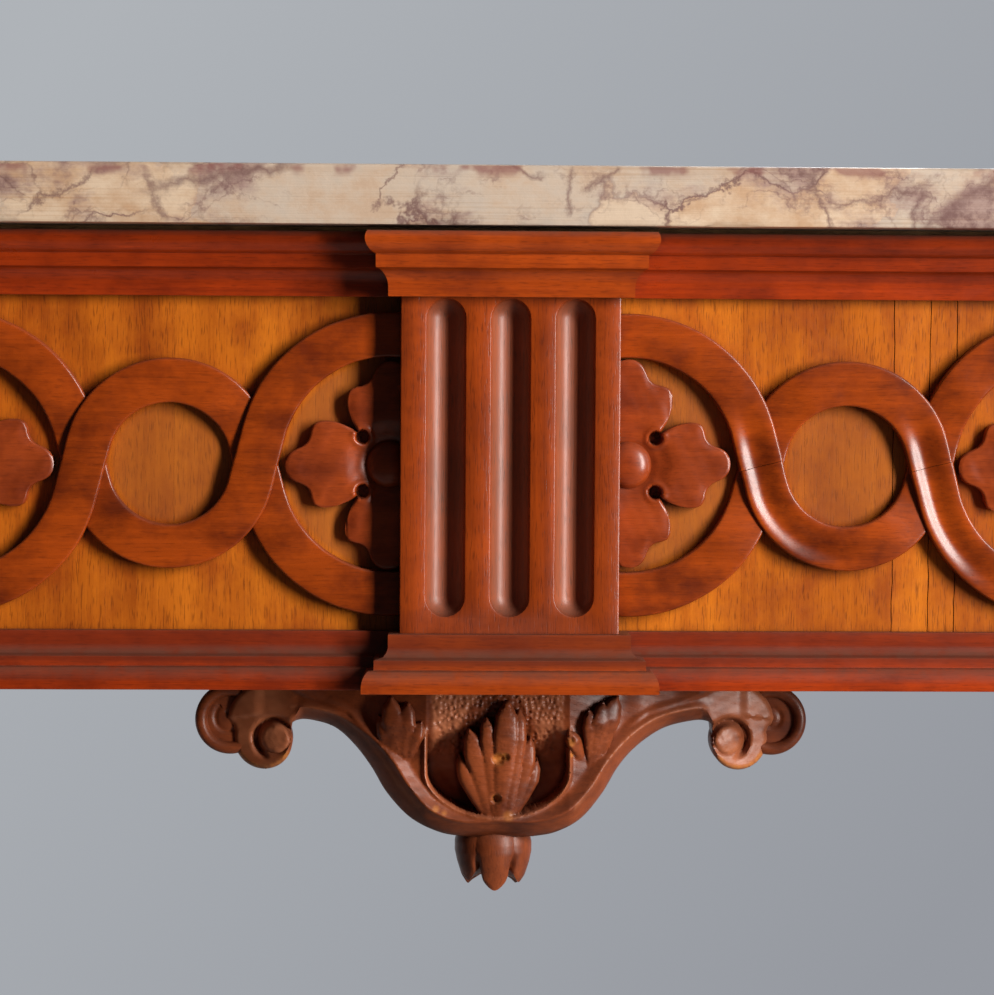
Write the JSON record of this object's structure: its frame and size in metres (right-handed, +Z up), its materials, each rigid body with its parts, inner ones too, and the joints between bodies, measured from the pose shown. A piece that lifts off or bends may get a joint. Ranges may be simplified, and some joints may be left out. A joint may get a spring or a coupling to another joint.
{
  "type": "pier table",
  "caption": "Neoclassical pier table: loose marble slab on a wooden apron with interlaced ring bands, rosettes, fluted blocks and a carved pendant, on turned fluted legs.",
  "frame": {"origin": "on the floor, under the middle of the table's bounding box", "axes": "+X to the right along the front, +Y to the wall, +Z up; the front faces -Y"},
  "size_m": [1.3272, 0.535, 0.88],
  "materials": {
    "marble": "polished top, sawn edge",
    "frieze_veneer": "polished vertical-grain veneer",
    "carved_wood": "worn polish",
    "polished_wood": "polished",
    "pendant_wood": "dull worn polish",
    "carcase_wood": "planed, unpolished",
    "iron": "old screws and pins"
  },
  "bodies": {
    "frame": {"back_rail": "carcase_wood", "base_center": "polished_wood", "base_corner_back_left": "polished_wood", "base_corner_back_right": "polished_wood", "base_corner_front_left": "polished_wood", "base_corner_front_right": "polished_wood", "base_front_left": "polished_wood", "base_front_right": "polished_wood", "base_left": "polished_wood", "base_right": "polished_wood", "bearer_left": "carcase_wood", "bearer_right": "carcase_wood", "bearer_screws": "iron", "center_block": "polished_wood", "crown_center": "polished_wood", "crown_corner_back_left": "polished_wood", "crown_corner_back_right": "polished_wood", "crown_corner_front_left": "polished_wood", "crown_corner_front_right": "polished_wood", "crown_front_left": "polished_wood", "crown_front_right": "polished_wood", "crown_left": "polished_wood", "crown_pins": "iron", "crown_right": "polished_wood", "front_rail": "carcase_wood", "glue_blocks_back": "carcase_wood", "glue_blocks_front": "carcase_wood", "guilloche_front_left": "carved_wood", "guilloche_front_right": "carved_wood", "guilloche_left": "carved_wood", "guilloche_right": "carved_wood", "left_rail": "carcase_wood", "leg_back_left": "polished_wood", "leg_back_right": "polished_wood", "leg_front_left": "polished_wood", "leg_front_right": "polished_wood", "pendant_bracket": "pendant_wood", "pendant_drop": "pendant_wood", "pendant_screws": "iron", "right_rail": "carcase_wood", "rosettes_front_left": "carved_wood", "rosettes_front_right": "carved_wood", "rosettes_left": "carved_wood", "rosettes_right": "carved_wood", "veneer_front_left": "frieze_veneer", "veneer_front_right": "frieze_veneer", "veneer_left": "frieze_veneer", "veneer_right": "frieze_veneer"},
    "top": {"marble_top": "marble"}
  },
  "joints": [
    {"name": "top_lift", "type": "slide", "parent": "frame", "child": "top", "axis": [0, 0, 1], "range_m": [0, 0.2]}
  ]
}
